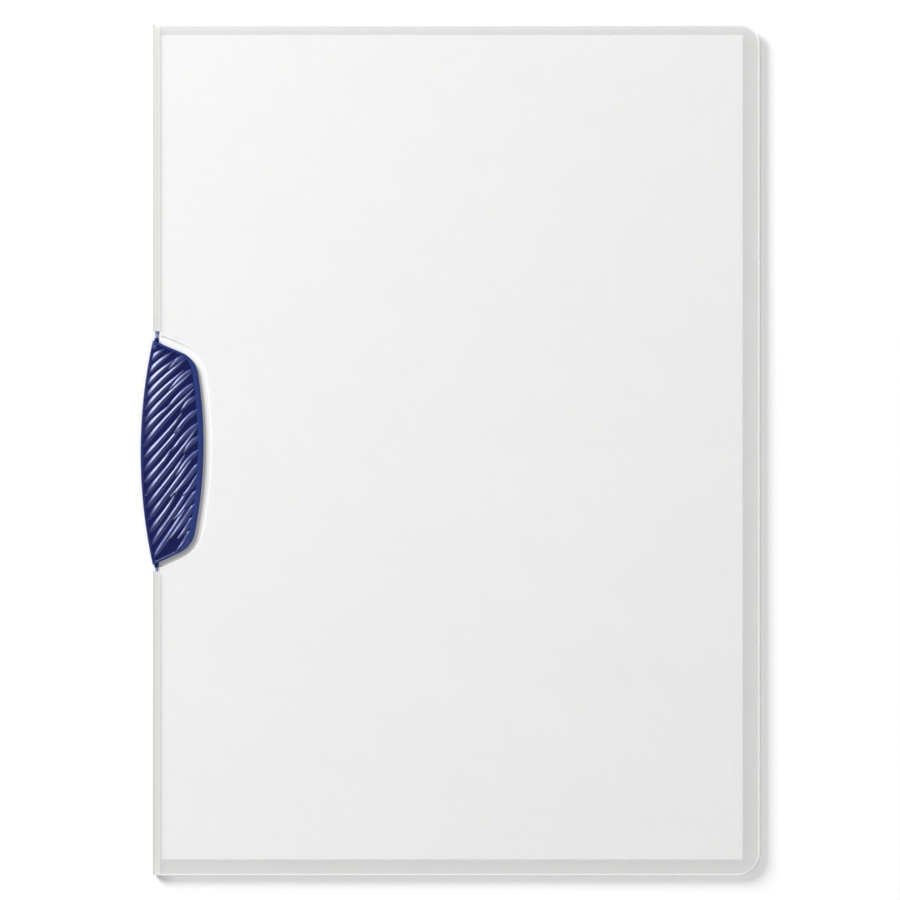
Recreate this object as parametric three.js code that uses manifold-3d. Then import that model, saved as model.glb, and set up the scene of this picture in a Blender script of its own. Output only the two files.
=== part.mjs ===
// A4 clip folder lying closed on its back: two film covers, a stack of sheets and a turning clip.
// Millimetres, +Z up. +X runs from the spine to the fore edge and +Y to the top of the page.
// The origin is under the middle of the folder's box, clip bow included.
import * as THREE from 'three';
import { mergeVertices } from 'three/addons/utils/BufferGeometryUtils.js';
import Module from 'manifold-3d';

// Cover film and spine channel
const coverWidth = 218.4;
const coverHeight = 306.3;
const filmThickness = 0.4;
const topCornerRadius = 6.3;
const bottomCornerRadius = 8.2;
const spineWidth = 2.2;
const spineFoldRadius = 1;
const creaseGap = 0.15;
const coverLift = 0.3;

// Sheets
const sheetWidth = 210;
const sheetHeight = 297;
const sheetThickness = 0.1;
const sheetCount = 20;
const sheetCornerRadius = 0.4;
const sheetShiftY = 1;
const sheetSpineGap = 0.15;

// Clip leaf, seen from above: a bow on the spine side and a D-shaped free edge
const clipHalfLength = 40.5;
const bowSag = 4.5;
const freeEdgeReach = 18.2;
const freeEdgeRadius = 165;
const freeEdgeCentreY = 3;
const shoulderRadius = 10;
const topEndAngle = 23;
const bottomEndAngle = 25;
const clipCornerTrim = 0.15;

// Clip leaf, in section
const leafThickness = 1.25;
const leafLift = 0.1;
const domeRise = 0.8;
const crestShare = 0.33;
const bowDrop = 1.4;
const upperEdgeRound = 0.55;
const lowerEdgeRound = 0.3;
const bowRimWidth = 1.2;
const freeRimWidth = 1.9;
const endRimWidth = 0.8;
const fieldDepth = 0.3;
const edgeRoundFit = 2.5;
const leafSections = 28;
const leafEdgeShares = [0, 0.25, 1];
const leafTopShares = [0.12, 0.28, 0.5, 0.75];
const leafBottomShares = [0.2, 0.4, 0.7];
const fieldSections = 22;
const fieldColumns = 6;

// Ridges on the leaf
const bowRidgeCount = 18;
const freeRidgeCount = 14;
const ridgeWidth = 1.9;
const ridgeHeight = 0.42;
const ridgeTipShare = 0.22;
const ridgeRoot = 0.25;
const ridgeCrown = 0.15;
const ridgeStations = 6;
const ridgeEndStep = 0.3;
const ridgeEndMargin = 3;
const ridgeBulge = 0.9;
const lowerRidgeAngle = 58;
const upperRidgeAngle = 40;
const bowRidgeShares = [0.6, 0.95, 0.42, 0.75];
const freeRidgeShares = [0.34, 0.22, 0.42];
const freeRidgeRise = 9;

// Ears, pins and the window that they turn in
const pinRadius = 0.6;
const pinWallClearance = 0.2;
const pinEngagement = 4;
const pinTipRadius = 0.35;
const earRadius = 0.9;
const earLength = 2;
const earInset = 0.3;
const bossLength = 2.1;
const pinFacets = 16;
const windowLength = 86.5;
const windowCentreY = -0.5;
const clipSlide = -0.5;
const notchClearance = 2.5;
const bowPassClearance = 0.7;
const windowPoints = 28;
const notchPoints = 56;

const sheetStack = sheetCount * sheetThickness;
const spineHeight = 2 * filmThickness + sheetStack + coverLift;
const sheetLeft = spineWidth + sheetSpineGap;
const sheetTop = filmThickness + sheetStack;
const pinX = filmThickness + pinWallClearance + pinRadius;
const pinZ = spineHeight / 2;
const leafRestZ = sheetTop + leafLift;
const leafWidth = bowSag + freeEdgeReach;
const bowReach = crestShare * leafWidth;
const farAway = 500;
const mergeDistance = 1e-5;

const wasm = await Module();
wasm.setup();

function solidOf(geometry) {
  const bare = geometry.clone();
  bare.deleteAttribute('normal');
  bare.deleteAttribute('uv');
  const merged = mergeVertices(bare, mergeDistance);
  const mesh = new wasm.Mesh({
    numProp: 3,
    vertProperties: new Float32Array(merged.attributes.position.array),
    triVerts: new Uint32Array(merged.index.array),
  });
  return new wasm.Manifold(mesh);
}

function geometryOf(solid) {
  const mesh = solid.getMesh();
  const geometry = new THREE.BufferGeometry();
  geometry.setAttribute('position', new THREE.BufferAttribute(mesh.vertProperties, 3));
  geometry.setIndex(new THREE.BufferAttribute(mesh.triVerts, 1));
  const flat = geometry.toNonIndexed();
  flat.computeVertexNormals();
  return flat;
}

function upright(shape, bottom, top, curveSegments) {
  const geometry = new THREE.ExtrudeGeometry(shape, { depth: top - bottom, bevelEnabled: false, curveSegments });
  geometry.translate(0, 0, bottom);
  return geometry;
}

// A profile drawn in X and Z, run along Y between two ends.
function alongY(shape, start, end, curveSegments) {
  const geometry = new THREE.ExtrudeGeometry(shape, { depth: end - start, bevelEnabled: false, curveSegments });
  geometry.rotateX(Math.PI / 2);
  geometry.translate(0, end, 0);
  return geometry;
}

function polygon(points) {
  return new THREE.Shape(points.map(([x, y]) => new THREE.Vector2(x, y)));
}

function steps(count, from, to) {
  return Array.from({ length: count + 1 }, (_, i) => from + ((to - from) * i) / count);
}

// A closed skin through sections of equal point count. Each section has its outline as [across, up]
// pairs, clockwise as seen against the travel, and a place function that puts a pair in space.
function loft(sections) {
  const positions = [];
  const index = [];
  const count = sections[0].outline.length;
  for (const { outline, place } of sections) {
    for (const [across, up] of outline) {
      positions.push(...place(across, up));
    }
  }
  for (let j = 0; j + 1 < sections.length; j += 1) {
    for (let i = 0; i < count; i += 1) {
      const a = j * count + i;
      const b = j * count + ((i + 1) % count);
      index.push(a, b, b + count, a, b + count, a + count);
    }
  }
  const cap = (section, first, facesBack) => {
    const flat = section.outline.map(([across, up]) => new THREE.Vector2(across, up));
    for (const [p, q, r] of THREE.ShapeUtils.triangulateShape(flat, [])) {
      const turn = THREE.ShapeUtils.area([flat[p], flat[q], flat[r]]);
      const face = turn > 0 === facesBack ? [p, q, r] : [p, r, q];
      index.push(...face.map((k) => first + k));
    }
  };
  cap(sections[0], 0, true);
  cap(sections.at(-1), (sections.length - 1) * count, false);
  const geometry = new THREE.BufferGeometry();
  geometry.setAttribute('position', new THREE.Float32BufferAttribute(positions, 3));
  geometry.setIndex(index);
  return geometry;
}

// Outline of the cover panels: square at the spine, rounded at the fore edge.
function coverOutline(left) {
  const half = coverHeight / 2;
  const shape = new THREE.Shape();
  shape.moveTo(left, -half);
  shape.lineTo(coverWidth - bottomCornerRadius, -half);
  shape.absarc(coverWidth - bottomCornerRadius, -half + bottomCornerRadius, bottomCornerRadius, -Math.PI / 2, 0);
  shape.lineTo(coverWidth, half - topCornerRadius);
  shape.absarc(coverWidth - topCornerRadius, half - topCornerRadius, topCornerRadius, 0, Math.PI / 2);
  shape.lineTo(left, half);
  return shape;
}

// Section of the back cover: a flat panel whose spine edge folds up and over into a channel.
function backSection() {
  const outer = spineFoldRadius;
  const inner = outer - filmThickness;
  const top = spineHeight;
  const shape = new THREE.Shape();
  shape.moveTo(outer, 0);
  shape.lineTo(coverWidth, 0);
  shape.lineTo(coverWidth, filmThickness);
  shape.lineTo(outer, filmThickness);
  shape.absarc(outer, outer, inner, -Math.PI / 2, -Math.PI, true);
  shape.lineTo(filmThickness, top - outer);
  shape.absarc(outer, top - outer, inner, Math.PI, Math.PI / 2, true);
  shape.lineTo(spineWidth, top - filmThickness);
  shape.lineTo(spineWidth, top);
  shape.lineTo(outer, top);
  shape.absarc(outer, top - outer, outer, Math.PI / 2, Math.PI);
  shape.lineTo(0, outer);
  shape.absarc(outer, outer, outer, Math.PI, 1.5 * Math.PI);
  return shape;
}

// Spine-side edge of the clip: a shallow bow whose ends meet the spine's outer face.
function bowEdge(y) {
  const radius = (clipHalfLength ** 2 + bowSag ** 2) / (2 * bowSag);
  return radius - bowSag - Math.sqrt(radius ** 2 - y ** 2);
}

// The straight end, rounded shoulder and curved free edge of one half of the clip, with y from its middle.
function halfEdge(y, angle, centreY, grow, length) {
  const slope = THREE.MathUtils.degToRad(angle);
  const tangent = new THREE.Vector2(Math.cos(slope), -Math.sin(slope));
  const inward = new THREE.Vector2(-Math.sin(slope), -Math.cos(slope));
  const arcCentre = new THREE.Vector2(freeEdgeReach - freeEdgeRadius, centreY);
  const line = new THREE.Vector2(0, length).addScaledVector(inward, shoulderRadius);
  const offset = line.clone().sub(arcCentre);
  const b = offset.dot(tangent);
  const c = offset.lengthSq() - (freeEdgeRadius - shoulderRadius) ** 2;
  const centre = line.clone().addScaledVector(tangent, -b + Math.sqrt(b * b - c));
  const radius = shoulderRadius + grow;
  const shoulderTop = centre.y + radius * Math.cos(slope);
  const outward = centre.clone().sub(arcCentre).normalize();
  const shoulderFoot = centre.y + radius * outward.y;
  if (y > shoulderTop) {
    return (length + grow / Math.cos(slope) - y) / Math.tan(slope);
  }
  if (y > shoulderFoot) {
    return centre.x + Math.sqrt(radius ** 2 - (y - centre.y) ** 2);
  }
  return arcCentre.x + Math.sqrt((freeEdgeRadius + grow) ** 2 - (y - centreY) ** 2);
}

// X of the clip's ends and free edge at height y, moved outward by grow.
function freeEdge(y, grow, length = clipHalfLength) {
  return y > freeEdgeCentreY
    ? halfEdge(y, topEndAngle, freeEdgeCentreY, grow, length)
    : halfEdge(-y, bottomEndAngle, -freeEdgeCentreY, grow, length);
}

// X where the sunk field ends: inside a wide rim at the free edge and a narrow one at the ends.
function fieldEdge(y) {
  return freeEdge(y, -freeRimWidth, clipHalfLength + freeRimWidth - endRimWidth);
}

// Height of the leaf's underside: a crest near the spine, falling to the sheets and to the bow.
function leafUnderside(x, y) {
  const left = bowEdge(y);
  const right = freeEdge(y, 0);
  const crestX = left + crestShare * (right - left);
  const rise = domeRise * Math.sqrt(Math.max(0, right - left) / leafWidth);
  const run = x < crestX ? (crestX - x) / bowReach : (x - crestX) / Math.max(right - crestX, filmThickness);
  return leafRestZ + rise - (x < crestX ? bowDrop : rise) * run * run;
}

function leafTop(x, y) {
  return leafUnderside(x, y) + leafThickness;
}

function arcFall(distance, radius) {
  const inside = Math.min(distance / radius, 1);
  return radius * (1 - Math.sqrt(1 - (1 - inside) ** 2));
}

// The smooth leaf, as cross sections from its lower end to its upper end.
function leaf() {
  const end = clipHalfLength - clipCornerTrim;
  const sections = steps(leafSections, -Math.PI / 2, Math.PI / 2).map((turn) => {
    const y = end * Math.sin(turn);
    const left = bowEdge(y);
    const right = freeEdge(y, 0);
    const fit = Math.min(1, (right - left) / (edgeRoundFit * upperEdgeRound));
    const upper = upperEdgeRound * fit;
    const lower = lowerEdgeRound * fit;
    const across = (round, inner) => [
      ...leafEdgeShares.map((share) => left + share * round),
      ...inner.map((share) => left + round + share * (right - left - 2 * round)),
      ...leafEdgeShares.toReversed().map((share) => right - share * round),
    ];
    const edge = (x) => Math.min(x - left, right - x);
    const top = across(upper, leafTopShares)
      .map((x) => [x, leafTop(x, y) - arcFall(edge(x), upper)]);
    const bottom = across(lower, leafBottomShares)
      .map((x) => [x, leafUnderside(x, y) + arcFall(edge(x), lower)]);
    return { outline: [...top, ...bottom.reverse()], place: (x, z) => [x, y, z] };
  });
  return solidOf(loft(sections));
}

// The field inside the rim, as the space that is sunk into the leaf's top.
function fieldSpace() {
  const fieldLeft = (y) => bowEdge(y) + bowRimWidth;
  let end = clipHalfLength;
  while (fieldEdge(end) - fieldLeft(end) < freeRimWidth || fieldEdge(-end) - fieldLeft(-end) < freeRimWidth) {
    end -= clipCornerTrim;
  }
  const sections = steps(fieldSections, -Math.PI / 2, Math.PI / 2).map((turn) => {
    const y = end * Math.sin(turn);
    const floor = steps(fieldColumns, fieldLeft(y), fieldEdge(y)).map((x) => [x, leafTop(x, y) - fieldDepth]);
    const above = (x) => leafTop(x, y) + fieldDepth + leafThickness;
    const lidLeft = [fieldLeft(y) - fieldDepth, above(fieldLeft(y))];
    const lidRight = [fieldEdge(y) + fieldDepth, above(fieldEdge(y))];
    return { outline: [lidLeft, ...floor, lidRight].reverse(), place: (x, z) => [x, y, z] };
  });
  return solidOf(loft(sections));
}

// One ridge: a tapered, curved bead that runs over the field from one point to another.
function ridge(from, to, bulge, width) {
  const travel = new THREE.Vector2().subVectors(to, from);
  const side = new THREE.Vector2(-travel.y, travel.x).normalize();
  const middle = from.clone().addScaledVector(travel, 0.5).addScaledVector(side, bulge);
  const path = new THREE.QuadraticBezierCurve(from, middle, to);
  const sections = steps(ridgeStations, 0, 1).map((t) => {
    const point = path.getPoint(t);
    const heading = path.getTangent(t);
    const share = ridgeTipShare + (1 - ridgeTipShare) * Math.sin(Math.PI * Math.sqrt(t));
    const half = (width / 2) * share;
    const height = ridgeHeight * Math.sqrt(share);
    const surface = (across) => leafTop(point.x + across * heading.y, point.y - across * heading.x) - fieldDepth;
    const outline = [
      [-half, surface(-half) - ridgeRoot],
      [-ridgeCrown * half, surface(-ridgeCrown * half) + height],
      [ridgeCrown * half, surface(ridgeCrown * half) + height],
      [half, surface(half) - ridgeRoot],
    ];
    return { outline, place: (across, z) => [point.x + across * heading.y, point.y - across * heading.x, z] };
  });
  return solidOf(loft(sections));
}

// The furthest point along a slanted line that still lies on the field, at most reach away across.
function onField(from, slope, reach) {
  const step = Math.sign(reach) * ridgeEndStep;
  let run = step;
  const clear = (x, y) => Math.abs(y) < clipHalfLength && x < fieldEdge(y) && x > bowEdge(y) + bowRimWidth;
  while (Math.abs(run) < Math.abs(reach) && clear(from.x + run + step, from.y + (run + step) * slope)) {
    run += step;
  }
  return new THREE.Vector2(from.x + run, from.y + run * slope);
}

// Ridges that start at the bow rim, and shorter ones that come down from the free rim between them.
function ridges() {
  const reach = clipHalfLength - ridgeEndMargin;
  const slopeAt = (y) => Math.tan(THREE.MathUtils.degToRad(
    THREE.MathUtils.mapLinear(y, -reach, reach, lowerRidgeAngle, upperRidgeAngle)));
  const long = steps(bowRidgeCount - 1, -reach, reach).map((y, i) => {
    const from = new THREE.Vector2(bowEdge(y) + bowRimWidth, y);
    const to = onField(from, slopeAt(y), leafWidth * bowRidgeShares[i % bowRidgeShares.length]);
    return ridge(from, to, y > 0 ? ridgeBulge : -ridgeBulge, ridgeWidth);
  });
  const short = steps(freeRidgeCount - 1, -reach + freeRidgeRise, reach - ridgeEndMargin).map((y, i) => {
    const from = new THREE.Vector2(fieldEdge(y), y);
    const to = onField(from, slopeAt(y), -leafWidth * freeRidgeShares[i % freeRidgeShares.length]);
    return ridge(from, to, y > 0 ? -ridgeBulge : ridgeBulge, ridgeWidth);
  });
  return [...long, ...short];
}

// An ear that drops from the leaf's corner, with a tapered boss and the pin that reaches into the channel.
function earAndPin(direction) {
  const leafEnd = clipHalfLength - earInset;
  const inner = leafEnd - earLength;
  const tip = windowLength / 2 - direction * clipSlide + pinEngagement;
  const shoulder = leafTop(pinX, inner) - upperEdgeRound;
  const ear = new THREE.Shape();
  ear.absarc(pinX, pinZ, earRadius, Math.PI, 2 * Math.PI);
  ear.lineTo(pinX + earRadius, shoulder);
  ear.lineTo(pinX - earRadius, shoulder);
  const [start, end] = direction > 0 ? [inner, leafEnd] : [-leafEnd, -inner];
  const profile = [[0, inner], [earRadius, inner], [earRadius, leafEnd], [pinRadius, leafEnd + bossLength],
    [pinRadius, tip - pinRadius], [pinTipRadius, tip], [0, tip]];
  const pin = new THREE.LatheGeometry(profile.map(([r, y]) => new THREE.Vector2(r, y)), pinFacets);
  if (direction < 0) {
    pin.rotateZ(Math.PI);
  }
  pin.translate(pinX, 0, pinZ);
  return solidOf(alongY(ear, start, end, 8)).add(solidOf(pin));
}

function clipSolid() {
  let solid = leaf().subtract(fieldSpace());
  ridges().forEach((bead) => {
    solid = solid.add(bead);
  });
  return solid.add(earAndPin(1)).add(earAndPin(-1));
}

// The opening in the spine and back film that lets the bow pass when the clip turns.
function bowPassage() {
  const half = windowLength / 2;
  const inner = steps(windowPoints, -half, half).map((y) => [2 * pinX - bowEdge(y - clipSlide) + bowPassClearance, y]);
  const outline = polygon([[-farAway, -half], ...inner, [-farAway, half]]);
  return solidOf(upright(outline, -farAway, farAway, 1));
}

// The notch in the front cover: the clip's outline, moved outward.
function clipNotch() {
  const half = windowLength / 2;
  const edge = steps(notchPoints, -half, half)
    .map((y) => [freeEdge(y, notchClearance), y])
    .filter(([x]) => x > spineWidth);
  const outline = polygon([[-farAway, edge[0][1]], ...edge, [-farAway, edge.at(-1)[1]]]);
  return solidOf(upright(outline, -farAway, farAway, 1));
}

function backCover() {
  const folded = solidOf(alongY(backSection(), -coverHeight / 2, coverHeight / 2, 6));
  const trim = solidOf(upright(coverOutline(-farAway), -farAway, farAway, 10));
  return folded.intersect(trim).subtract(bowPassage().translate(0, windowCentreY, 0));
}

function frontCover() {
  const panel = solidOf(upright(coverOutline(spineWidth + creaseGap), spineHeight - filmThickness, spineHeight, 10));
  return panel.subtract(clipNotch().translate(0, windowCentreY, 0));
}

function paperStack() {
  const half = sheetHeight / 2;
  const r = sheetCornerRadius;
  const right = sheetLeft + sheetWidth;
  const shape = new THREE.Shape();
  shape.moveTo(sheetLeft + r, sheetShiftY - half);
  shape.lineTo(right - r, sheetShiftY - half);
  shape.lineTo(right, sheetShiftY - half + r);
  shape.lineTo(right, sheetShiftY + half - r);
  shape.lineTo(right - r, sheetShiftY + half);
  shape.lineTo(sheetLeft + r, sheetShiftY + half);
  shape.lineTo(sheetLeft, sheetShiftY + half - r);
  shape.lineTo(sheetLeft, sheetShiftY - half + r);
  return solidOf(upright(shape, filmThickness, sheetTop, 1));
}

function piece(name, solid, color, roughness) {
  const material = new THREE.MeshStandardMaterial({ color, roughness, metalness: 0 });
  const mesh = new THREE.Mesh(geometryOf(solid), material);
  mesh.name = name;
  return mesh;
}

const folder = new THREE.Group();
folder.add(piece('back_cover', backCover(), 0xcbccca, 0.4));
folder.add(piece('front_cover', frontCover(), 0xe9ecee, 0.15));
folder.add(piece('paper_stack', paperStack(), 0xf1f1f1, 0.9));
const clip = piece('clip', clipSolid(), 0x1b2470, 0.28);
clip.position.y = windowCentreY + clipSlide;
folder.add(clip);
folder.position.x = (bowSag - coverWidth) / 2;

export default folder;
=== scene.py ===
"""An A4 clip folder on a pale floor: clear film covers, a stack of sheets and a domed turning clip."""

from __future__ import annotations

import logging
import math
import random
from collections.abc import Callable
from dataclasses import dataclass
from enum import Enum

import bpy
import numpy as np
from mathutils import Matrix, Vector

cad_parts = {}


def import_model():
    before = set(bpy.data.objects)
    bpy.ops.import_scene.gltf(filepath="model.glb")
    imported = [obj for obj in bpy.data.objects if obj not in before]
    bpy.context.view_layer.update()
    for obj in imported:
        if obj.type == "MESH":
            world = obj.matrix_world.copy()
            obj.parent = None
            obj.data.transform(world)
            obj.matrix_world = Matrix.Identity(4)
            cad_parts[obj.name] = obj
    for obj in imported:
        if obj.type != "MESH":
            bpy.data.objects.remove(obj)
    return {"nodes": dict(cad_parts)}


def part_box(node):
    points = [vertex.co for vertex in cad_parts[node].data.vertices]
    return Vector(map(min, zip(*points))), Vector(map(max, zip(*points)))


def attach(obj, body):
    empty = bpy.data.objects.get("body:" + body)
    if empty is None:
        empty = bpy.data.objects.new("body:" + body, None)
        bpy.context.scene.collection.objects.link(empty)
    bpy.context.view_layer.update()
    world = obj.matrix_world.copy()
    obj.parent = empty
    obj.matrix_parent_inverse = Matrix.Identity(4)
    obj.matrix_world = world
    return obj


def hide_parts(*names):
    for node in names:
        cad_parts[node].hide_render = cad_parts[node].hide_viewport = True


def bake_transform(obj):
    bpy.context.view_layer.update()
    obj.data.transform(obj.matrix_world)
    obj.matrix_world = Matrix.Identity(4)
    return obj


LOG = logging.getLogger("clip_folder")
MM = 0.001
MERGE_DISTANCE = 0.001 * MM
SEED = 11
Triple = tuple[float, float, float]
Tint = Triple
Colour = Tint | bpy.types.NodeSocket


class Body(Enum):
    """The bodies that pieces ride on."""

    FOLDER = "folder"
    FRONT = "front"
    CLIP = "clip"


class Field:
    """A node socket that can be used in sums, so that a pattern reads like a formula."""

    def __init__(self, tree: bpy.types.NodeTree, socket: bpy.types.NodeSocket) -> None:
        """Wraps a socket.

        Args:
            tree: The node tree that the socket is in.
            socket: The output socket that holds the value.
        """
        self.tree = tree
        self.socket = socket

    def _math(self, operation: str, *values: Field | float) -> Field:
        """Adds one Math node.

        Args:
            operation: The node's operation.
            values: Its inputs.

        Returns:
            The node's result.
        """
        node = add_node(self.tree, "ShaderNodeMath", {"operation": operation}, dict(enumerate(values)))
        return Field(self.tree, node.outputs[0])

    def __add__(self, other: Field | float) -> Field:
        """Adds a field or a number."""
        return self._math("ADD", self, other)

    def __radd__(self, other: float) -> Field:
        """Adds the field to a number."""
        return self._math("ADD", other, self)

    def __sub__(self, other: Field | float) -> Field:
        """Takes a field or a number away."""
        return self._math("SUBTRACT", self, other)

    def __rsub__(self, other: float) -> Field:
        """Takes the field away from a number."""
        return self._math("SUBTRACT", other, self)

    def __mul__(self, other: Field | float) -> Field:
        """Multiplies by a field or a number."""
        return self._math("MULTIPLY", self, other)

    def __rmul__(self, other: float) -> Field:
        """Multiplies a number by the field."""
        return self._math("MULTIPLY", other, self)

    def absolute(self) -> Field:
        """Returns the size of the value without its sign."""
        return self._math("ABSOLUTE", self)

    def at_least(self, other: Field | float) -> Field:
        """Returns the larger of the field and the lower limit given."""
        return self._math("MAXIMUM", self, other)

    def at_most(self, other: Field | float) -> Field:
        """Returns the smaller of the field and the upper limit given."""
        return self._math("MINIMUM", self, other)

    def power(self, exponent: float) -> Field:
        """Returns the value raised to a power."""
        return self._math("POWER", self, exponent)

    def ramp(self, low: float, high: float) -> Field:
        """Makes a smooth step.

        Args:
            low: The value that gives 0.
            high: The value that gives 1.

        Returns:
            The step between the two.
        """
        inputs = {"Value": self, "From Min": low, "From Max": high}
        node = add_node(self.tree, "ShaderNodeMapRange", {"interpolation_type": "SMOOTHSTEP"}, inputs)
        return Field(self.tree, node.outputs["Result"])

    def blend(self, low: Colour, high: Colour) -> bpy.types.NodeSocket:
        """Mixes two colours by the field.

        Args:
            low: The colour at 0, as three values or a socket.
            high: The colour at 1, as three values or a socket.

        Returns:
            The mixed colour's socket.
        """
        low, high = ((*tint, 1.0) if isinstance(tint, tuple) else tint for tint in (low, high))
        inputs = {"Factor": self, "A": low, "B": high}
        return add_node(self.tree, "ShaderNodeMix", {"data_type": "RGBA"}, inputs).outputs["Result"]


def add_node(
    tree: bpy.types.NodeTree,
    kind: str,
    settings: dict[str, str] | None = None,
    inputs: dict[int | str, Field | bpy.types.NodeSocket | float | tuple[float, ...]] | None = None,
) -> bpy.types.Node:
    """Adds one node to a material.

    Args:
        tree: The material's node tree.
        kind: The node's type.
        settings: The node's properties, which are set before its inputs.
        inputs: A field, a socket or a constant for each input, by its name or number.

    Returns:
        The node.
    """
    node = tree.nodes.new(kind)
    for name, setting in (settings or {}).items():
        setattr(node, name, setting)
    for name, value in (inputs or {}).items():
        source = value.socket if isinstance(value, Field) else value
        if isinstance(source, bpy.types.NodeSocket):
            tree.links.new(source, node.inputs[name])
        else:
            node.inputs[name].default_value = source
    return node


class Recipe:
    """A material under construction: one Principled shader and the fields that feed it."""

    def __init__(self, name: str) -> None:
        """Starts a material.

        Args:
            name: The material's name.
        """
        self.material = bpy.data.materials.new(name)
        self.material.use_nodes = True
        self.tree = self.material.node_tree
        self.shader = self.tree.nodes["Principled BSDF"]

    def position(self) -> tuple[Field, ...]:
        """Reads the place on the object.

        Returns:
            The object's own X, Y and Z in metres.
        """
        place = add_node(self.tree, "ShaderNodeTexCoord")
        split = add_node(self.tree, "ShaderNodeSeparateXYZ", inputs={0: place.outputs["Object"]})
        return tuple(Field(self.tree, output) for output in split.outputs)

    def noise(self, scale: float, detail: float = 2.0, stretch: Triple = (1, 1, 1)) -> Field:
        """Makes a noise pattern in the object's own space.

        Args:
            scale: Waves a metre.
            detail: Octaves of finer noise.
            stretch: How much each axis is scaled first.

        Returns:
            Noise between 0 and 1.
        """
        place = add_node(self.tree, "ShaderNodeTexCoord")
        stretched = {"Vector": place.outputs["Object"], "Scale": stretch}
        mapping = add_node(self.tree, "ShaderNodeMapping", inputs=stretched)
        waves = {"Vector": mapping.outputs["Vector"], "Scale": scale, "Detail": detail}
        return Field(self.tree, add_node(self.tree, "ShaderNodeTexNoise", inputs=waves).outputs["Fac"])

    def attribute(self, name: str) -> Field:
        """Returns the value of a mesh attribute."""
        node = add_node(self.tree, "ShaderNodeAttribute", {"attribute_name": name})
        return Field(self.tree, node.outputs["Fac"])

    def facing(self) -> Field:
        """Returns 0 where the surface faces the viewer and 1 where it is edge on."""
        return Field(self.tree, add_node(self.tree, "ShaderNodeLayerWeight").outputs["Facing"])

    def bump(self, height: Field, strength: float, distance: float) -> None:
        """Feeds a bump from a height field to the shader.

        Args:
            height: The height field.
            strength: The bump's strength.
            distance: Metres of height for a field value of 1.
        """
        inputs = {"Strength": strength, "Distance": distance, "Height": height}
        self.feed("Normal", add_node(self.tree, "ShaderNodeBump", inputs=inputs).outputs["Normal"])

    def feed(self, socket: str, value: Field | bpy.types.NodeSocket) -> None:
        """Links a field or a colour to one of the shader's inputs.

        Args:
            socket: The input's name.
            value: What it gets.
        """
        source = value.socket if isinstance(value, Field) else value
        self.tree.links.new(source, self.shader.inputs[socket])

    def set(self, **values: float | tuple[float, ...]) -> None:
        """Sets constants on the shader's own sockets.

        Args:
            values: Socket names with spaces as underscores, and their values.
        """
        for name, value in values.items():
            self.shader.inputs[name.replace("_", " ")].default_value = value


@dataclass(frozen=True)
class PaperFinish:
    """Matt white office paper with faint mottling and fibres."""

    white: Tint = (0.67, 0.67, 0.67)
    shade: Tint = (0.655, 0.655, 0.655)
    cloud_scale: float = 18.0
    cloud_stretch: Triple = (0.6, 2.2, 1.0)
    cloud_range: tuple[float, float] = (0.35, 0.7)
    roughness: float = 0.82
    roughness_spread: float = 0.1
    roughness_scale: float = 900.0
    specular: float = 0.25
    fibre_scale: float = 2600.0
    fibre_strength: float = 0.15
    fibre_height: float = 0.02 * MM

    def build(self) -> bpy.types.Material:
        """Makes the paper's material.

        Returns:
            The material.
        """
        recipe = Recipe("paper")
        cloud = recipe.noise(self.cloud_scale, 3, self.cloud_stretch)
        recipe.feed("Base Color", cloud.ramp(*self.cloud_range).blend(self.shade, self.white))
        grain = recipe.noise(self.roughness_scale)
        recipe.feed("Roughness", grain * self.roughness_spread + self.roughness)
        recipe.set(Specular_IOR_Level=self.specular)
        recipe.bump(recipe.noise(self.fibre_scale, 3), self.fibre_strength, self.fibre_height)
        return recipe.material


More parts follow.
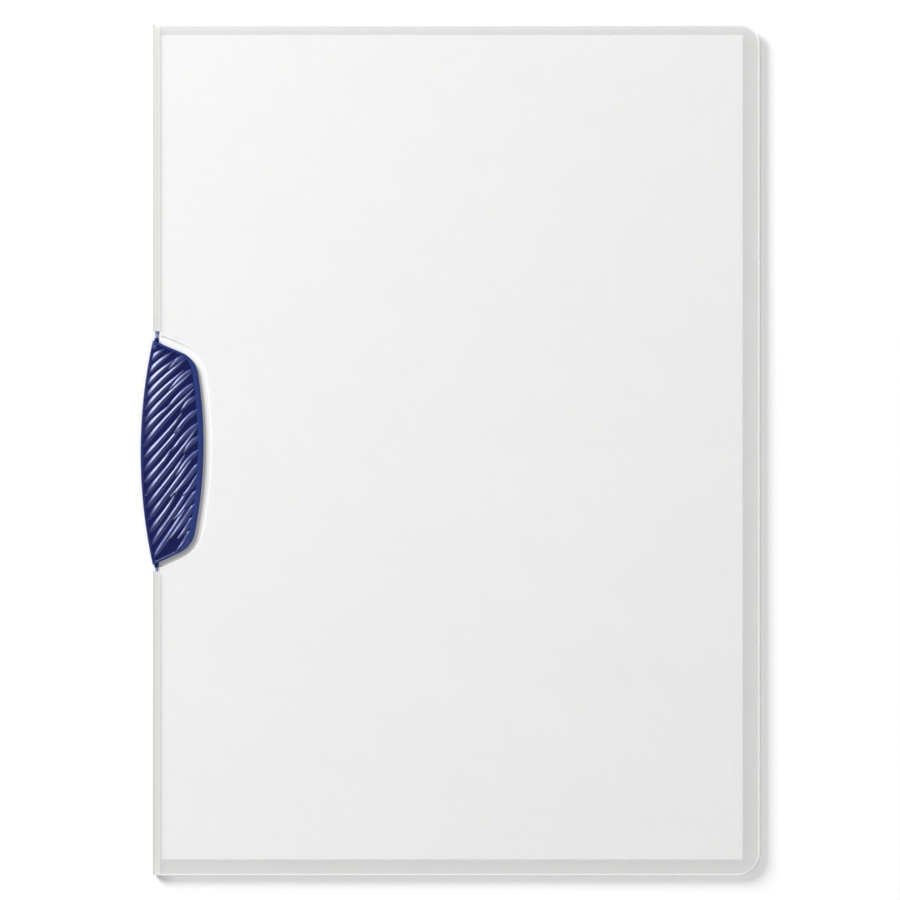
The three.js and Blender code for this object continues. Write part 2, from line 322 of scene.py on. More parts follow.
@dataclass(frozen=True)
class FilmFinish:
    """Plastic film: part clear, denser when seen edge on, with a painted highlight along its cut edges.

    A film with a strip tint also gets a clearer strip along its spine, painted light as a highlight on the
    folded film, with painted shade on the steep outer side of the fold.
    """

    name: str
    tint: Tint
    edge_highlight_tint: Tint
    clearness: float
    gloss: float
    # The cut edges get a painted highlight: a lighter tint, more opacity so that it shows, and a band that
    # sets its reach.
    edge_share: float = 0.15
    edge_highlight_band: tuple[float, float] = (0.55 * MM, 0.2 * MM)
    haze_scale: float = 60.0
    haze_opacity: float = 0.02
    haze_gloss: float = 0.06
    grazing_power: float = 4.0
    grazing_opacity: float = 0.6
    # Painted highlight tint of the spine strip; the painted shade tint of the fold's steep outer side and its
    # band follow below.
    strip_highlight_tint: Tint | None = None
    strip_width: float = 2.6 * MM
    strip_blur: float = 0.05 * MM
    strip_clearness: float = 0.4
    fold_shade_tint: Tint = (0.3, 0.3, 0.29)
    fold_shade_band: tuple[float, float] = (0.7, 0.9)
    index: float = 1.5
    wave_scale: float = 9.0
    wave_strength: float = 0.25
    wave_height: float = 0.6 * MM

    def build(self, low: Vector, high: Vector, corner: float) -> bpy.types.Material:
        """Makes the film's material.

        Args:
            low: The panel's lowest corner.
            high: Its highest corner.
            corner: Its corner radius.

        Returns:
            The material.
        """
        recipe = Recipe(self.name)
        x, y, _ = recipe.position()
        centre, half = (low + high) / 2, (high - low) / 2
        across = (x - centre.x) - (half.x - corner)
        along = (y - centre.y).absolute() - (half.y - corner)
        outside = (across.at_least(0.0).power(2.0) + along.at_least(0.0).power(2.0)).power(0.5)
        distance = outside + across.at_least(along).at_most(0.0) - corner
        # Mask of the painted highlight along the cut edges.
        edge = distance.ramp(*(-reach for reach in self.edge_highlight_band))
        haze = recipe.noise(self.haze_scale, 3)
        colour = edge.blend(self.tint, self.edge_highlight_tint)
        grazing = recipe.facing().power(self.grazing_power) * self.grazing_opacity
        opacity = haze * self.haze_opacity + (1.0 - self.clearness)
        opacity = opacity + grazing + edge * (self.edge_share * self.clearness)
        # Painted highlight on the spine strip where the film folds up, and painted shade on the fold's steep
        # outer side.
        if self.strip_highlight_tint:
            side = low.x + self.strip_width
            strip = x.ramp(side + self.strip_blur, side - self.strip_blur)
            fold = x.ramp(*(side - share * self.strip_width for share in self.fold_shade_band))
            colour = strip.blend(colour, fold.blend(self.strip_highlight_tint, self.fold_shade_tint))
            opacity = opacity - strip * self.strip_clearness * (1.0 - fold)
        recipe.feed("Base Color", colour)
        recipe.feed("Roughness", haze * self.haze_gloss + self.gloss)
        recipe.feed("Alpha", opacity.at_most(1.0))
        recipe.set(IOR=self.index)
        recipe.bump(recipe.noise(self.wave_scale), self.wave_strength, self.wave_height)
        return recipe.material


@dataclass(frozen=True)
class ClipFinish:
    """Glossy dark blue moulded plastic, duller at the rims, with a lighter blue painted there as reflection
    and lavender painted on the bosses and pins as a highlight.
    """

    navy: Tint = (0.005, 0.006, 0.06)
    # Lighter blue of the painted reflection on the rims.
    rim: Tint = (0.006, 0.021, 0.135)
    sheen: Tint = (0.6, 0.68, 1.0)
    # Lavender of the painted highlight on the bosses and pins.
    boss_pin_highlight: Tint = (0.2, 0.24, 0.5)
    gloss: float = 0.18
    gloss_spread: float = 0.05
    gloss_scale: float = 1500.0
    rim_haze: float = 0.27
    index: float = 1.56
    grain_scale: float = 2500.0
    grain_strength: float = 0.05
    grain_height: float = 0.02 * MM

    def build(self) -> bpy.types.Material:
        """Makes the clip's material, which reads the mesh attributes rim, for the painted reflection, and
        boss_pin_highlight, for the painted highlight on the bosses and pins.

        Returns:
            The material.
        """
        recipe = Recipe("clip_plastic")
        # The rim attribute gives the lighter blue, a painted reflection on the rims and the ridges near the
        # free rim.
        rim = recipe.attribute("rim")
        body = rim.blend(self.navy, self.rim)
        # Lavender painted on the bosses and pins as a highlight.
        recipe.feed("Base Color", recipe.attribute("boss_pin_highlight").blend(body, self.boss_pin_highlight))
        haze = recipe.noise(self.gloss_scale) * self.gloss_spread
        recipe.feed("Roughness", haze + rim * self.rim_haze + self.gloss)
        recipe.set(IOR=self.index, Specular_Tint=(*self.sheen, 1.0))
        recipe.bump(recipe.noise(self.grain_scale), self.grain_strength, self.grain_height)
        return recipe.material


@dataclass(frozen=True)
class FloorFinish:
    """A pale matt floor."""

    white: float = 0.8
    mottle: float = 0.005
    mottle_scale: float = 3.0
    mottle_range: tuple[float, float] = (0.2, 0.8)
    roughness: float = 0.9

    def build(self) -> bpy.types.Material:
        """Makes the floor's material.

        Returns:
            The material.
        """
        recipe = Recipe("floor")
        tone = recipe.noise(self.mottle_scale).ramp(*self.mottle_range)
        recipe.feed("Base Color", tone.blend((self.white - self.mottle,) * 3, (self.white,) * 3))
        recipe.set(Roughness=self.roughness, Specular_IOR_Level=0.0)
        return recipe.material


def join(parts: list[bpy.types.Object]) -> bpy.types.Object:
    """Applies the parts' transforms and joins them into the first one.

    Args:
        parts: The parts.

    Returns:
        The joined object.
    """
    bpy.ops.object.select_all(action="DESELECT")
    for part in parts:
        part.select_set(True)
    bpy.context.view_layer.objects.active = parts[0]
    bpy.ops.object.transform_apply(location=True, rotation=True, scale=True)
    bpy.ops.object.join()
    return parts[0]


def off_segment(places: np.ndarray, a: np.ndarray, b: np.ndarray) -> tuple[np.ndarray, np.ndarray]:
    """Measures places against a straight segment.

    Args:
        places: X and Y of each place, in the last axis.
        a: The segment's first point.
        b: Its last point.

    Returns:
        Each place's share along the segment, and its offset from the nearest point of it.
    """
    along = b - a
    share = np.clip(((places - a) @ along) / (along @ along), 0, 1)
    return share, places - a - share[..., None] * along


def distance_to(places: np.ndarray, line: np.ndarray) -> np.ndarray:
    """Measures places against a line of straight segments.

    Args:
        places: X and Y of each place, in the last axis.
        line: The line's points.

    Returns:
        How far each place is from the line.
    """
    near = np.full(places.shape[:-1], np.inf)
    for a, b in zip(line[:-1], line[1:]):
        near = np.minimum(near, np.linalg.norm(off_segment(places, a, b)[1], axis=-1))
    return near


def round_fall(edge: np.ndarray, radius: np.ndarray) -> np.ndarray:
    """Rounds an edge.

    Args:
        edge: Each place's distance from the outline.
        radius: The rounding's radius there.

    Returns:
        How far the surface falls away at each place.
    """
    inside = np.clip(edge / radius, 0, 1)
    return radius * (1 - np.sqrt(1 - (1 - inside) ** 2))


@dataclass(frozen=True)
class ClipShape:
    """The clip's own sizes, in millimetres from the folder's spine edge and the clip's middle."""

    middle: float = -1.0
    half_length: float = 40.5
    bow_sag: float = 4.5
    reach: float = 18.2
    edge_radius: float = 165.0
    edge_centre: float = 3.0
    shoulder: float = 10.0
    top_angle: float = 23.0
    bottom_angle: float = 25.0
    corner_trim: float = 0.15
    thickness: float = 1.25
    rest_height: float = 2.5
    dome: float = 0.8
    crest_share: float = 0.33
    least_run: float = 0.4
    bow_drop: float = 1.4
    upper_round: float = 0.55
    lower_round: float = 0.3
    bow_rim: float = 1.2
    free_rim: float = 1.9
    end_rim: float = 0.8
    field_depth: float = 0.3
    field_wall: float = 0.35
    # Reach and shares of the lighter blue painted as reflection: along the ridges near the free rim, faintly
    # on the bow rim, and in full in a band at the bow's edge.
    rim_glow: float = 9.0
    bow_glow: float = 0.25
    bow_line: float = 0.35
    pin_x: float = 1.2
    pin_z: float = 1.55
    pin_radius: float = 0.6
    pin_reach: float = 4.0
    pin_tip: float = 0.35
    ear_radius: float = 0.9
    boss_length: float = 2.1
    neck_share: float = 0.55
    ear_length: float = 2.0
    ear_inset: float = 0.3
    window_half: float = 43.25
    window_slide: float = 0.5
    window_gap: float = 0.15

    @property
    def width(self) -> float:
        """Returns the clip's widest span across."""
        return self.bow_sag + self.reach

    def bow_edge(self, y: np.ndarray) -> np.ndarray:
        """Follows the bow that stands out past the spine.

        Args:
            y: Heights along the clip.

        Returns:
            X of the bow's outer edge there.
        """
        radius = (self.half_length**2 + self.bow_sag**2) / (2 * self.bow_sag)
        return radius - self.bow_sag - np.sqrt(radius**2 - np.square(y))

    def _half_edge(
        self, y: np.ndarray, angle: float, centre_y: float, grow: float, length: float
    ) -> np.ndarray:
        """Follows one half of the edge over the sheets.

        Args:
            y: Heights, positive towards this end.
            angle: The end's slope in degrees.
            centre_y: Height of the free edge's arc centre.
            grow: How far the outline is moved outward.
            length: Height at which the straight end meets the spine edge.

        Returns:
            X of the straight end, the shoulder or the free edge.
        """
        slope = math.radians(angle)
        tangent = np.array([math.cos(slope), -math.sin(slope)])
        inward = np.array([-math.sin(slope), -math.cos(slope)])
        arc = np.array([self.reach - self.edge_radius, centre_y])
        line = np.array([0.0, length]) + inward * self.shoulder
        offset = line - arc
        b = offset @ tangent
        c = offset @ offset - (self.edge_radius - self.shoulder) ** 2
        centre = line + tangent * (-b + math.sqrt(b * b - c))
        radius = self.shoulder + grow
        outward = (centre - arc) / np.linalg.norm(centre - arc)
        top = centre[1] + radius * math.cos(slope)
        foot = centre[1] + radius * outward[1]
        straight = (length + grow / math.cos(slope) - y) / math.tan(slope)
        rounded = centre[0] + np.sqrt(np.maximum(radius**2 - (y - centre[1]) ** 2, 0))
        free = arc[0] + np.sqrt((self.edge_radius + grow) ** 2 - (y - centre_y) ** 2)
        return np.where(y > top, straight, np.where(y > foot, rounded, free))

    def free_edge(self, y: np.ndarray, grow: float = 0.0, longer: float = 0.0) -> np.ndarray:
        """Follows the edge over the sheets.

        Args:
            y: Heights along the clip.
            grow: How far the outline is moved outward.
            longer: How much further the ends start.

        Returns:
            X of the ends and the free edge there.
        """
        y = np.asarray(y)
        length = self.half_length + longer
        upper = self._half_edge(y, self.top_angle, self.edge_centre, grow, length)
        lower = self._half_edge(-y, self.bottom_angle, -self.edge_centre, grow, length)
        return np.where(y > self.edge_centre, upper, lower)

    def field_edge(self, y: np.ndarray) -> np.ndarray:
        """Follows the sunk field inside the free rim and the narrower end rims.

        Args:
            y: Heights along the clip.

        Returns:
            X where the field ends.
        """
        return self.free_edge(y, -self.free_rim, self.free_rim - self.end_rim)

    def underside(self, x: np.ndarray, y: np.ndarray) -> np.ndarray:
        """Shapes the leaf's dome and the drop of its bow.

        Args:
            x: Positions across.
            y: Positions along.

        Returns:
            Height of the leaf's underside.
        """
        left = self.bow_edge(y)
        right = self.free_edge(y)
        crest = left + self.crest_share * (right - left)
        rise = self.dome * np.sqrt(np.maximum(right - left, 0) / self.width)
        bow_run = (crest - x) / (self.crest_share * self.width)
        free_run = (x - crest) / np.maximum(right - crest, self.least_run)
        fall = np.where(x < crest, self.bow_drop * bow_run**2, rise * free_run**2)
        return self.rest_height + rise - fall

    def crease_start(self, direction: int) -> float:
        """Finds where the crease starts, just clear of the window that the clip turns in.

        Args:
            direction: 1 for the window's upper end and -1 for its lower one.

        Returns:
            Y in the folder's frame, in millimetres.
        """
        return self.middle + self.window_slide + direction * (self.window_half + self.window_gap)


@dataclass(frozen=True)
class RidgeShape:
    """The ridges on the clip's leaf, in millimetres, degrees and shares of the clip's width."""

    bow_count: int = 18
    free_count: int = 14
    width: float = 1.9
    height: float = 0.41
    tip_share: float = 0.22
    end_margin: float = 3.0
    bulge: float = 0.9
    lower_angle: float = 58.0
    upper_angle: float = 40.0
    bow_shares: tuple[float, ...] = (0.6, 0.95, 0.42, 0.75)
    free_shares: tuple[float, ...] = (0.34, 0.22, 0.42)
    free_rise: float = 9.0
    crown: float = 0.12
    lit_side: tuple[float, float] = (-0.7, 0.7)
    lit_reach: float = 1.2
    shaded_reach: float = 0.8


class Ridges:
    """Lays out the ridges and measures the height that they add."""

    SAMPLES = 24
    STEP = 0.3

    def __init__(self, clip: ClipShape, shape: RidgeShape) -> None:
        """Lays the ridges out.

        Args:
            clip: The clip that they lie on.
            shape: Their own sizes.
        """
        self.clip = clip
        self.shape = shape
        self.paths = [self._sampled(*ends) for ends in self._layout()]

    def _bow_rim(self, y: float) -> float:
        """Returns X of the inner side of the bow's rim at a height."""
        return float(self.clip.bow_edge(y)) + self.clip.bow_rim

    def _free_rim(self, y: float) -> float:
        """Returns X of the inner side of the free rim at a height."""
        return float(self.clip.field_edge(y))

    def _slope(self, y: float) -> float:
        """Slopes the ridges, steeper towards the clip's lower end.

        Args:
            y: A ridge's starting height.

        Returns:
            Its rise for each unit across.
        """
        reach = self.clip.half_length - self.shape.end_margin
        share = (y + reach) / (2 * reach)
        angle = self.shape.lower_angle + share * (self.shape.upper_angle - self.shape.lower_angle)
        return math.tan(math.radians(angle))

    def _on_field(self, start: np.ndarray, slope: float, reach: float) -> np.ndarray:
        """Ends a ridge before it leaves the sunk field.

        Args:
            start: The ridge's first point.
            slope: Its rise for each unit across.
            reach: How far across it may go, with its sign.

        Returns:
            The furthest point that still lies on the field.
        """
        step = math.copysign(self.STEP, reach)
        run = step

        def clear(x: float, y: float) -> bool:
            """Tells whether a place lies on the field."""
            return abs(y) < self.clip.half_length and self._bow_rim(y) < x < self._free_rim(y)

        while abs(run) < abs(reach) and clear(start[0] + run + step, start[1] + (run + step) * slope):
            run += step
        return start + np.array([run, run * slope])

    def _row(
        self, rim: Callable[[float], float], starts: np.ndarray, shares: tuple[float, ...], side: int
    ) -> list[tuple[np.ndarray, np.ndarray, float]]:
        """Lays out a row of ridges that start from one side of the field.

        Args:
            rim: That side's X at a height.
            starts: Height of each ridge's start.
            shares: Their lengths across, in turn, as shares of the clip's width.
            side: 1 where they run towards the free edge and -1 towards the bow.

        Returns:
            First point, last point and bulge of each ridge.
        """
        found = []
        for i, y in enumerate(starts):
            start = np.array([rim(y), y])
            reach = side * self.clip.width * shares[i % len(shares)]
            bulge = math.copysign(self.shape.bulge, y) * side
            found.append((start, self._on_field(start, self._slope(y), reach), bulge))
        return found

    def _layout(self) -> list[tuple[np.ndarray, np.ndarray, float]]:
        """Lays out long ridges from the bow's rim and short ones from the free rim.

        Returns:
            First point, last point and bulge of each ridge.
        """
        shape = self.shape
        end = self.clip.half_length - shape.end_margin
        bow_starts = np.linspace(-end, end, shape.bow_count)
        free_starts = np.linspace(-end + shape.free_rise, end - shape.end_margin, shape.free_count)
        long = self._row(self._bow_rim, bow_starts, shape.bow_shares, 1)
        return long + self._row(self._free_rim, free_starts, shape.free_shares, -1)

    def _sampled(self, start: np.ndarray, end: np.ndarray, bulge: float) -> tuple[np.ndarray, np.ndarray]:
        """Bends a ridge and tapers it.

        Args:
            start: First point.
            end: Last point.
            bulge: How far the middle control point stands off.

        Returns:
            Points along the ridge, and its half width at each.
        """
        travel = end - start
        side = np.array([-travel[1], travel[0]]) / np.linalg.norm(travel)
        middle = start + travel / 2 + side * bulge
        t = np.linspace(0, 1, self.SAMPLES)[:, None]
        points = (1 - t) ** 2 * start + 2 * t * (1 - t) * middle + t**2 * end
        tip = self.shape.tip_share
        share = tip + (1 - tip) * np.sin(np.pi * np.sqrt(t[:, 0]))
        return points, share * self.shape.width / 2

    def height(self, places: np.ndarray) -> np.ndarray:
        """Raises the ridges, each with a wide flank on its lit side.

        Args:
            places: X and Y of each place, in the last axis.

        Returns:
            How far the ridges stand above the field there.
        """
        shape = self.shape
        total = np.zeros(places.shape[:-1])
        for points, halves in self.paths:
            near = np.full_like(total, np.inf)
            for a, b, start, end in zip(points[:-1], points[1:], halves[:-1], halves[1:]):
                share, offset = off_segment(places, a, b)
                lit = offset @ np.array(shape.lit_side) > 0
                lean = np.where(lit, shape.lit_reach, shape.shaded_reach)
                gap = np.linalg.norm(offset, axis=-1)
                near = np.minimum(near, gap / (lean * (start + share * (end - start))))
            flank = np.clip((1 - near) / (1 - shape.crown), 0, 1)
            total = np.maximum(total, shape.height * flank)
        return total


@dataclass(frozen=True)
class TurningClip:
    """The moulded clip: leaf, ridges, ears and pins, as one piece."""

    shape: ClipShape
    ridges: Ridges
    spine: float
    grid: tuple[int, int] = (460, 150)
    quick_grid: tuple[int, int] = (160, 60)
    end_crowding: float = 0.96
    side_crowding: float = 0.04
    underside_share: int = 3
    outline_points: int = 321
    round_fit: float = 2.5
    relief_reach: float = 0.4
    pin_facets: int = 32
    smooth_angle: float = 40.0

    def _place(
        self, x: float | np.ndarray, y: float | np.ndarray, z: float | np.ndarray
    ) -> tuple[float | np.ndarray, ...]:
        """Moves a point of the clip, or an array of them, to the shared frame.

        Args:
            x: Millimetres from the spine edge.
            y: Millimetres from the clip's middle.
            z: Millimetres above the floor.

        Returns:
            The place in metres.
        """
        return (self.spine + x * MM, (self.shape.middle + y) * MM, z * MM)

    def _across(self, y: np.ndarray, share: np.ndarray) -> np.ndarray:
        """Spreads places between the bow's edge and the free edge.

        Args:
            y: Height of each section, as a column.
            share: How far across each place is.

        Returns:
            X and Y of each place, in the last axis.
        """
        left, right = self.shape.bow_edge(y), self.shape.free_edge(y)
        x = left + share[None, :] * (right - left)
        return np.stack([x, y + 0 * x], -1)

    def _gap(self, places: np.ndarray, edge: Callable[[np.ndarray], np.ndarray]) -> np.ndarray:
        """Measures places against one of the clip's edges.

        Args:
            places: X and Y of each place, in the last axis.
            edge: The edge's X at a height.

        Returns:
            How far each place is from the edge.
        """
        y = np.linspace(-self.shape.half_length, self.shape.half_length, self.outline_points)
        return distance_to(places, np.stack([edge(y), y], -1))

    def _upper_side(self, places: np.ndarray, fit: np.ndarray) -> tuple[np.ndarray, np.ndarray]:
        """Shapes the upper side: a dome with round edges, a sunk field and its ridges.

        Args:
            places: X and Y of each place, in the last axis.
            fit: Share of the full rounding that each section has room for.

        Returns:
            Each place's height, and how much it shows the rim's lighter blue, a painted reflection.
        """
        s = self.shape
        x, y = places[..., 0], places[..., 1]
        to_free, to_bow = self._gap(places, s.free_edge), self._gap(places, s.bow_edge)
        to_field = self._gap(places, s.field_edge)
        to_field = np.where(x < s.field_edge(y), to_field, -to_field)
        inner = np.minimum(to_field, to_bow - s.bow_rim)
        sunk = np.clip(inner / s.field_wall + 0.5, 0, 1)
        sunk = sunk * sunk * (3 - 2 * sunk)
        beads = self.ridges.height(places)
        relief = np.maximum(-s.field_depth * sunk, -s.field_depth + beads)
        fall = round_fall(np.minimum(to_free, to_bow), s.upper_round * fit)
        height = s.underside(x, y) + s.thickness - fall
        height = height + np.where(inner > -self.relief_reach, relief, 0)
        # Painted reflection: the rim's lighter blue over the free rim, faintly over the bow rim, fully in a
        # band at the bow's edge, and fading along the ridges near the free rim.
        near_rim = np.clip(1 - to_field / s.rim_glow, 0, 1) * np.clip(beads / s.field_depth, 0, 1)
        bow_side = np.clip((to_free - to_bow) / s.bow_rim, 0, 1)
        line = np.clip(1 - to_bow / s.bow_line, 0, 1)
        lit = (1 - sunk) * (1 - bow_side * (1 - np.maximum(s.bow_glow, line)))
        return height, np.maximum(lit, near_rim)

    def _leaf(self, rows: int, columns: int) -> bpy.types.Object:
        """Builds the domed leaf from sections that are closer together near its ends.

        Args:
            rows: Sections along the clip.
            columns: Points across its top.

        Returns:
            The leaf, with the attribute rim.
        """
        s = self.shape
        turn = np.pi / 2 * self.end_crowding
        spread = np.sin(turn * np.linspace(-1.0, 1.0, rows)) / np.sin(turn)
        y = ((s.half_length - s.corner_trim) * spread)[:, None]
        share = np.linspace(0, 1, columns)
        over = self._across(y, share - self.side_crowding * np.sin(2 * np.pi * share))
        under = self._across(y, np.linspace(1, 0, columns // self.underside_share))
        fit = np.minimum(1, (s.free_edge(y) - s.bow_edge(y)) / (self.round_fit * s.upper_round))
        top, rim = self._upper_side(over, fit)
        edge = np.minimum(self._gap(under, s.free_edge), self._gap(under, s.bow_edge))
        low = s.underside(under[..., 0], under[..., 1]) + round_fall(edge, s.lower_round * fit)
        flat = np.concatenate([over, under], 1)
        height = np.concatenate([top, low], 1)
        count = height.shape[1]
        faces = [
            (j + i, j + (i + 1) % count, j + count + (i + 1) % count, j + count + i)
            for j in range(0, (rows - 1) * count, count)
            for i in range(count)
        ]
        faces.append(tuple(reversed(range(count))))
        faces.append(tuple(range((rows - 1) * count, rows * count)))
        points = np.stack(self._place(flat[..., 0], flat[..., 1], height), -1).reshape(-1, 3)
        mesh = bpy.data.meshes.new("clip_leaf")
        mesh.from_pydata(points.tolist(), [], faces)
        # The underside takes the rim's painted lighter blue in full.
        tone = np.concatenate([rim, np.ones_like(low)], 1).reshape(-1)
        layer = mesh.attributes.new("rim", "FLOAT", "POINT")
        layer.data.foreach_set("value", tone.astype(np.float32))
        leaf = bpy.data.objects.new("clip_moulding", mesh)
        bpy.context.scene.collection.objects.link(leaf)
        return leaf

    def _ear(self, direction: int) -> list[bpy.types.Object]:
        """Builds the ear at one end, with its boss and pin.

        Args:
            direction: 1 for the upper end and -1 for the lower one.

        Returns:
            The turned sections as one closed shell with the attribute boss_pin_highlight, which marks the
            painted highlight, and the ear's block.
        """
        s = self.shape
        outer = s.half_length - s.ear_inset
        inner = outer - s.ear_length
        tip = s.window_half + direction * s.window_slide + s.pin_reach
        boss = outer + s.boss_length
        neck = outer + s.neck_share * s.boss_length
        neck_radius = s.ear_radius + s.neck_share * (s.pin_radius - s.ear_radius)
        sections = []
        # The boss and the pin are marked for the painted lavender highlight.
        for low, high, start, stop, boss_pin_highlight in (
            (s.ear_radius, s.ear_radius, inner, outer, 0.0),
            (s.ear_radius, neck_radius, outer, neck, 0.0),
            (neck_radius, s.pin_radius, neck, boss, 1.0),
            (s.pin_radius, s.pin_radius, boss, tip - s.pin_radius, 1.0),
            (s.pin_radius, s.pin_tip, tip - s.pin_radius, tip, 0.0),
        ):
            bpy.ops.mesh.primitive_cone_add(
                vertices=self.pin_facets,
                radius1=low * MM,
                radius2=high * MM,
                depth=(stop - start) * MM,
                end_fill_type="NOTHING",
                location=self._place(s.pin_x, direction * (start + stop) / 2, s.pin_z),
                rotation=(-direction * math.pi / 2, 0, 0),
            )
            sections.append(bpy.context.object)
            pale = sections[-1].data.attributes.new("boss_pin_highlight", "FLOAT", "FACE")
            pale.data.foreach_set("value", [boss_pin_highlight] * len(sections[-1].data.polygons))
        pin = join(sections)
        bpy.ops.object.mode_set(mode="EDIT")
        bpy.ops.mesh.select_all(action="SELECT")
        bpy.ops.mesh.remove_doubles(threshold=MERGE_DISTANCE)
        bpy.ops.mesh.fill_holes(sides=0)
        bpy.ops.object.mode_set(mode="OBJECT")
        top = float(s.underside(np.array(s.pin_x), np.array(inner))) + s.thickness / 2
        bpy.ops.mesh.primitive_cube_add(
            size=1,
            location=self._place(s.pin_x, direction * (inner + outer) / 2, (top + s.pin_z) / 2),
            scale=(2 * s.ear_radius * MM, s.ear_length * MM, (top - s.pin_z) * MM),
        )
        return [pin, bpy.context.object]

    def build(self, material: bpy.types.Material) -> bpy.types.Object:
        """Builds the clip.

        Args:
            material: The clip's finish.

        Returns:
            The finished clip.
        """
        leaf = self._leaf(*self.grid)
        clip = join([leaf, *self._ear(1), *self._ear(-1)])
        bpy.ops.object.shade_smooth_by_angle(angle=math.radians(self.smooth_angle))
        clip.data.materials.clear()
        clip.data.materials.append(material)
        return clip


@dataclass(frozen=True)
class SheetStack:
    """The A4 sheets, each as its own thin layer, jogged back a little from the stack's sides."""

    low: Vector
    high: Vector
    count: int = 20
    jog: float = 0.12 * MM
    sheet_share: float = 0.96
    corner: float = 0.4 * MM
    corner_steps: int = 2

    def _round_corners(self, stack: bpy.types.Object) -> None:
        """Rounds the four upright corners of every sheet.

        Args:
            stack: The joined sheets.
        """
        bpy.ops.object.mode_set(mode="EDIT")
        bpy.ops.mesh.select_mode(type="EDGE")
        bpy.ops.mesh.select_all(action="DESELECT")
        bpy.ops.object.mode_set(mode="OBJECT")
        points = stack.data.vertices
        for edge in stack.data.edges:
            rise = points[edge.vertices[0]].co - points[edge.vertices[1]].co
            edge.select = abs(rise.z) > max(abs(rise.x), abs(rise.y))
        bpy.ops.object.mode_set(mode="EDIT")
        bpy.ops.mesh.bevel(offset=self.corner, segments=self.corner_steps, affect="EDGES")
        bpy.ops.object.mode_set(mode="OBJECT")

    def build(self, material: bpy.types.Material) -> bpy.types.Object:
        """Builds the stack.

        Args:
            material: The paper's finish.

        Returns:
            The stack as one piece.
        """
        dice = random.Random(SEED)
        step = (self.high.z - self.low.z) / self.count
        sheets = []
        for i in range(self.count):
            top = i == self.count - 1
            trim = [0.0 if top else dice.uniform(0, self.jog) for _ in range(4)]
            floor = self.low.z + i * step
            low = Vector((self.low.x + trim[0], self.low.y + trim[1], floor))
            high = Vector((self.high.x - trim[2], self.high.y - trim[3], floor + self.sheet_share * step))
            bpy.ops.mesh.primitive_cube_add(size=1, location=(low + high) / 2, scale=high - low)
            sheets.append(bpy.context.object)
        stack = join(sheets)
        stack.name = "sheet_stack"
        self._round_corners(stack)
        stack.data.materials.clear()
        stack.data.materials.append(material)
        return stack


@dataclass(frozen=True)
class FilmCover:
    """A film cover: a CAD node that gets its finish and slightly rounded cut edges."""

    finish: FilmFinish
    corner: float = 7.2 * MM
    cut_round: float = 0.08 * MM
    cut_steps: int = 2

    def dress(self, node: bpy.types.Object) -> bpy.types.Material:
        """Dresses the cover.

        Args:
            node: The cover's CAD node.

        Returns:
            The film's material.
        """
        material = self.finish.build(*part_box(node.name), self.corner)
        node.data.materials.clear()
        node.data.materials.append(material)
        bevel = node.modifiers.new("cut_edge", "BEVEL")
        bevel.width = self.cut_round
        bevel.segments = self.cut_steps
        bevel.limit_method = "ANGLE"
        return material


@dataclass(frozen=True)
class CreaseStrip:
    """The thin score line at which the film bends between the spine strip and the front panel."""

    spine_lap: float = 0.4 * MM
    front_lap: float = 0.2 * MM
    lift: float = 0.02 * MM
    end_gap: float = 0.1 * MM
    thickness: float = 0.1 * MM
    edge_share: float = 0.25

    def build(self, name: str, low_y: float, high_y: float, material: bpy.types.Material) -> bpy.types.Object:
        """Builds one length of the crease, at the front cover's spine side.

        Args:
            name: The strip's name.
            low_y: Its lower end.
            high_y: Its upper end.
            material: The film's finish.

        Returns:
            The strip, lying along the crease.
        """
        front_low, front_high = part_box("front_cover")
        left, right = front_low.x - self.spine_lap, front_low.x + self.front_lap
        top = front_high.z + self.lift
        centre = ((left + right) / 2, (low_y + high_y) / 2, top - self.thickness / 2)
        bpy.ops.mesh.primitive_cube_add(size=1, location=centre)
        strip = bpy.context.object
        strip.name = name
        strip.scale = (right - left, high_y - low_y, self.thickness)
        bpy.ops.object.transform_apply(location=True, rotation=True, scale=True)
        bpy.ops.object.mode_set(mode="EDIT")
        bpy.ops.mesh.select_all(action="SELECT")
        bpy.ops.mesh.bevel(offset=self.thickness * self.edge_share, segments=1, affect="EDGES")
        bpy.ops.object.mode_set(mode="OBJECT")
        # It takes the back film's material, so the crease shows the painted highlight tint of that film's
        # spine strip.
        strip.data.materials.append(material)
        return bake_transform(strip)


@dataclass(frozen=True)
class Softbox:
    """An area light that points at the folder."""

    name: str
    place: Triple
    size: float
    power: float

    def build(self) -> None:
        """Adds the light to the scene."""
        data = bpy.data.lights.new(self.name, "AREA")
        data.shape = "RECTANGLE"
        data.size = data.size_y = self.size
        data.energy = self.power
        light = bpy.data.objects.new(self.name, data)
        light.location = self.place
        light.rotation_euler = (-Vector(self.place)).to_track_quat("-Z", "Y").to_euler()
        bpy.context.scene.collection.objects.link(light)


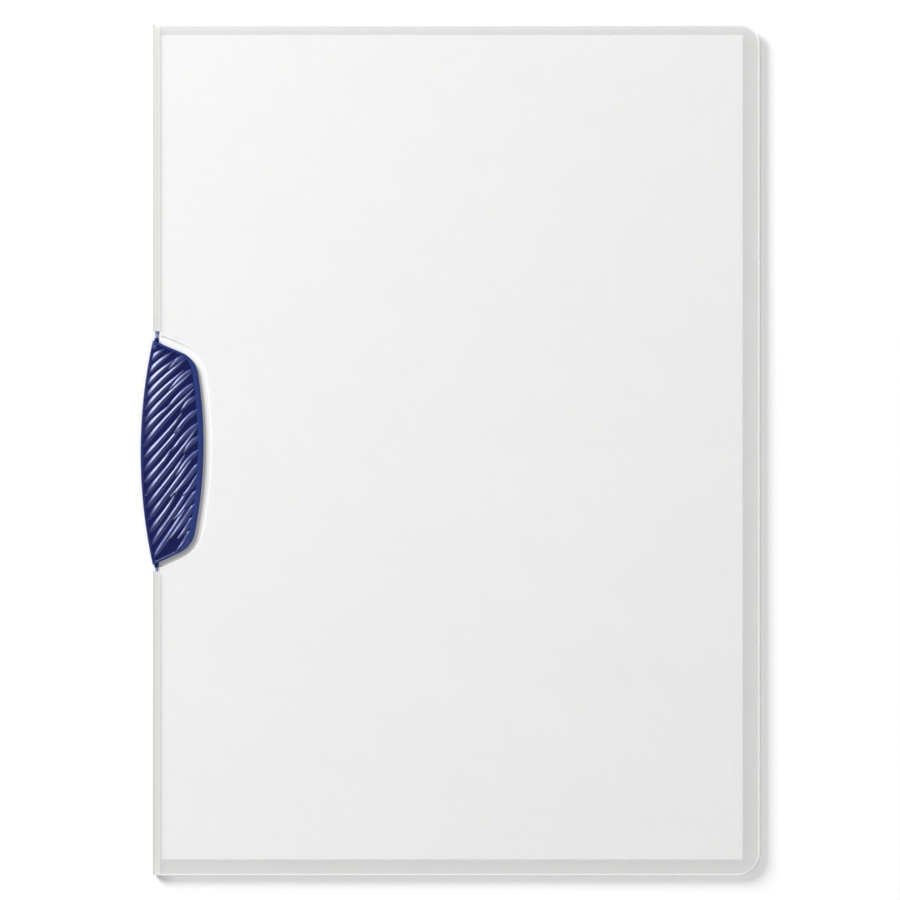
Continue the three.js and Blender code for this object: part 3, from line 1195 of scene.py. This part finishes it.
@dataclass(frozen=True)
class Studio:
    """Floor, lights, world and camera."""

    frame_width: float = 0.3247
    camera_height: float = 1.5
    sensor: float = 36.0
    world_strength: float = 0.2
    floor_size: float = 6.0
    floor_drop: float = 0.05 * MM
    lights: tuple[Softbox, ...] = (
        Softbox("key", (-1.52, 1.3, 1.1), 1.15, 103.0),
        Softbox("fill_right", (1.0, -1.3, 1.2), 2.6, 32.0),
    )

    def build(self, floor: bpy.types.Material) -> None:
        """Makes the stage.

        Args:
            floor: The floor's finish.
        """
        bpy.ops.mesh.primitive_plane_add(size=self.floor_size, location=(0, 0, -self.floor_drop))
        plane = bpy.context.object
        plane.name = "floor"
        plane.data.materials.append(floor)
        for light in self.lights:
            light.build()
        world = bpy.data.worlds.new("studio")
        world.use_nodes = True
        sky = world.node_tree.nodes["Background"]
        sky.inputs["Color"].default_value = (1, 1, 1, 1)
        sky.inputs["Strength"].default_value = self.world_strength
        bpy.context.scene.world = world
        data = bpy.data.cameras.new("camera")
        data.sensor_width = self.sensor
        data.lens = self.sensor * self.camera_height / self.frame_width
        camera = bpy.data.objects.new("camera", data)
        camera.location = (0, 0, self.camera_height)
        bpy.context.scene.collection.objects.link(camera)
        bpy.context.scene.camera = camera
        bpy.context.scene.view_settings.view_transform = "Standard"


# The back film's dark grey tint is partly the film's own grey and partly painted shade of the margins between
# the two films.
BACK_FILM = FilmFinish(
    name="back_film",
    tint=(0.22, 0.223, 0.215),
    edge_highlight_tint=(0.5, 0.51, 0.5),
    clearness=0.12,
    gloss=0.3,
    strip_highlight_tint=(0.8, 0.8, 0.78),
)
FRONT_FILM = FilmFinish(
    name="front_film",
    tint=(0.895, 0.895, 0.89),
    edge_highlight_tint=(0.9, 0.92, 0.9),
    clearness=0.65,
    gloss=0.1,
)


def report(piece: bpy.types.Object) -> None:
    """Logs a finished piece."""
    LOG.info("%s: %d faces", piece.name, len(piece.data.polygons))


def main() -> None:
    """Builds the whole scene and reports each piece."""
    logging.basicConfig(level=logging.INFO, format="%(name)s: %(message)s")
    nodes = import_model()["nodes"]
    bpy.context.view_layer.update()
    Studio().build(FloorFinish().build())

    film = FilmCover(BACK_FILM).dress(nodes["back_cover"])
    report(nodes["back_cover"])
    FilmCover(FRONT_FILM).dress(nodes["front_cover"])
    report(nodes["front_cover"])

    shape = ClipShape()
    crease = CreaseStrip()
    front_low, front_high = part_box("front_cover")
    for name, low_y, high_y in (
        ("crease_top", shape.crease_start(1) * MM, front_high.y - crease.end_gap),
        ("crease_bottom", front_low.y + crease.end_gap, shape.crease_start(-1) * MM),
    ):
        report(crease.build(name, low_y, high_y, film))

    stack = SheetStack(*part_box("paper_stack")).build(PaperFinish().build())
    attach(stack, Body.FOLDER.value)
    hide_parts("paper_stack")
    report(stack)

    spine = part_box("back_cover")[0].x
    clip = TurningClip(shape, Ridges(shape, RidgeShape()), spine).build(ClipFinish().build())
    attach(clip, Body.CLIP.value)
    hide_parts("clip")
    report(clip)


if __name__ == "__main__":
    main()
